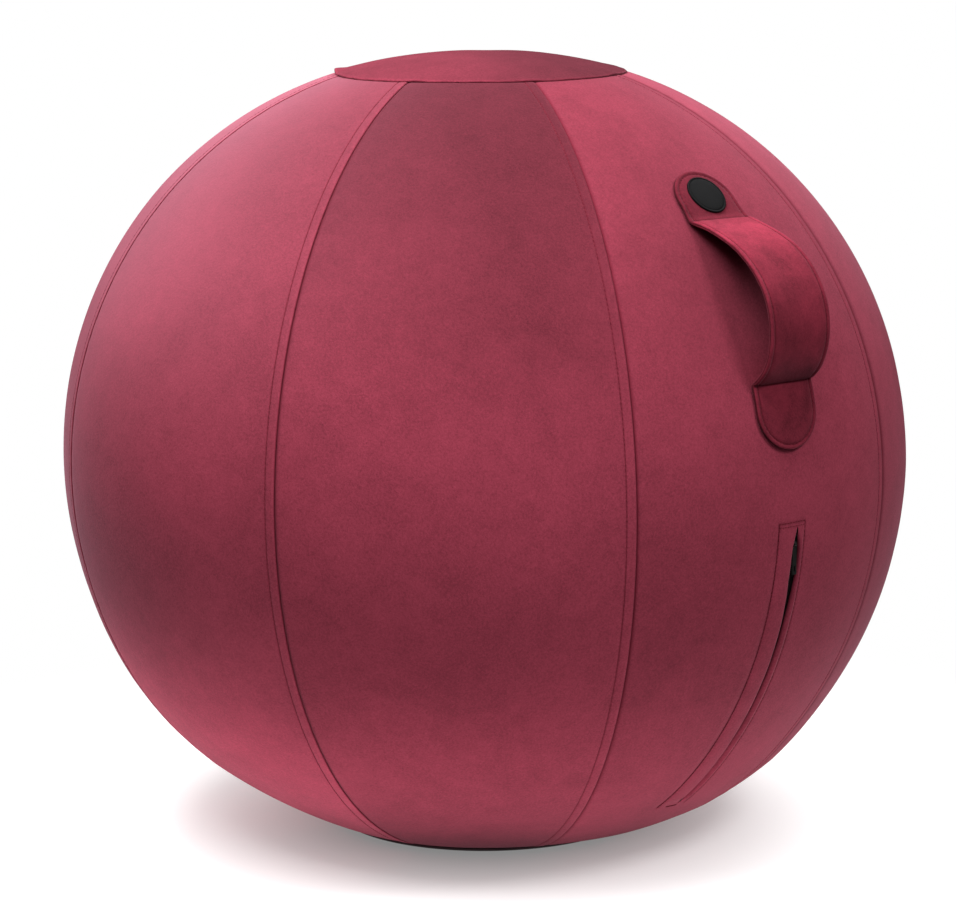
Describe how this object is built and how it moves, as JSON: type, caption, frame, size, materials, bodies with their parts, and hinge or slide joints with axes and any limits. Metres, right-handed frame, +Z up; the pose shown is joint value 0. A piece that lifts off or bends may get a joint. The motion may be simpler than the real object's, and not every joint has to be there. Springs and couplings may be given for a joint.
{
  "type": "sitting ball",
  "caption": "Inflated sitting ball in a sewn velvet cover with a flat base, side carry strap and a zip for taking the cover off.",
  "frame": {"origin": "centre of the flat base where it meets the floor", "axes": "+Z up, +X towards the side with the carry strap and the zip"},
  "size_m": [0.6596, 0.65, 0.6014],
  "materials": {
    "velvet": "short-pile burgundy velvet with a soft sheen",
    "base_cloth": "black anti-slip coated cloth with small raised dots",
    "webbing": "woven polyester webbing",
    "badge": "black moulded badge, bare",
    "zip_tape": "dark woven zip tape",
    "zip_coil": "black nylon coil",
    "zip_metal": "black lacquered die cast",
    "bladder_pvc": "grey soft vinyl",
    "plug_plastic": "white moulded plug"
  },
  "bodies": {
    "ball": {"cover_gore_zip": "velvet", "cover_gore_2": "velvet", "cover_gore_3": "velvet", "cover_gore_4": "velvet", "cover_gore_5": "velvet", "cover_gore_6": "velvet", "cover_gore_7": "velvet", "cover_gore_8": "velvet", "top_cap": "velvet", "base_panel": "base_cloth", "handle_tab_upper": "velvet", "handle_tab_lower": "velvet", "badge": "badge", "zip_welt_left": "velvet", "zip_welt_right": "velvet", "zip_tape_left": "zip_tape", "zip_tape_right": "zip_tape", "zip_coil_left": "zip_coil", "zip_coil_right": "zip_coil", "zip_top_stops": "zip_metal", "zip_bottom_stop": "zip_metal", "bladder": "bladder_pvc", "valve_plug": "plug_plastic"},
    "handle": {"handle_grip_face": "velvet", "handle_grip_lining": "velvet", "handle_grip_webbing": "webbing", "handle_leg_upper": "velvet", "handle_leg_lower": "velvet"},
    "slider": {"zip_slider": "zip_metal"},
    "pull": {"zip_pull": "zip_metal"}
  },
  "joints": [
    {"name": "zip_slider_travel", "type": "hinge", "parent": "ball", "child": "slider", "pos_m": [0.01999, 0.00056, 0.294], "axis": [-0.0279, 0.9996, 0], "range_deg": [0, 41]},
    {"name": "zip_pull_flip", "type": "hinge", "parent": "slider", "child": "pull", "pos_m": [0.32086, 0.00896, 0.26178], "axis": [0.0279, -0.9996, 0], "range_deg": [-5, 145]},
    {"name": "handle_swing", "type": "hinge", "parent": "ball", "child": "handle", "pos_m": [0.2581, 0, 0.4882], "axis": [0.4733, 0, -0.8809], "range_deg": [-40, 40], "stiffness_Nm_per_rad": 0.05, "deforming": ["handle_leg_upper", "handle_leg_lower"]}
  ]
}
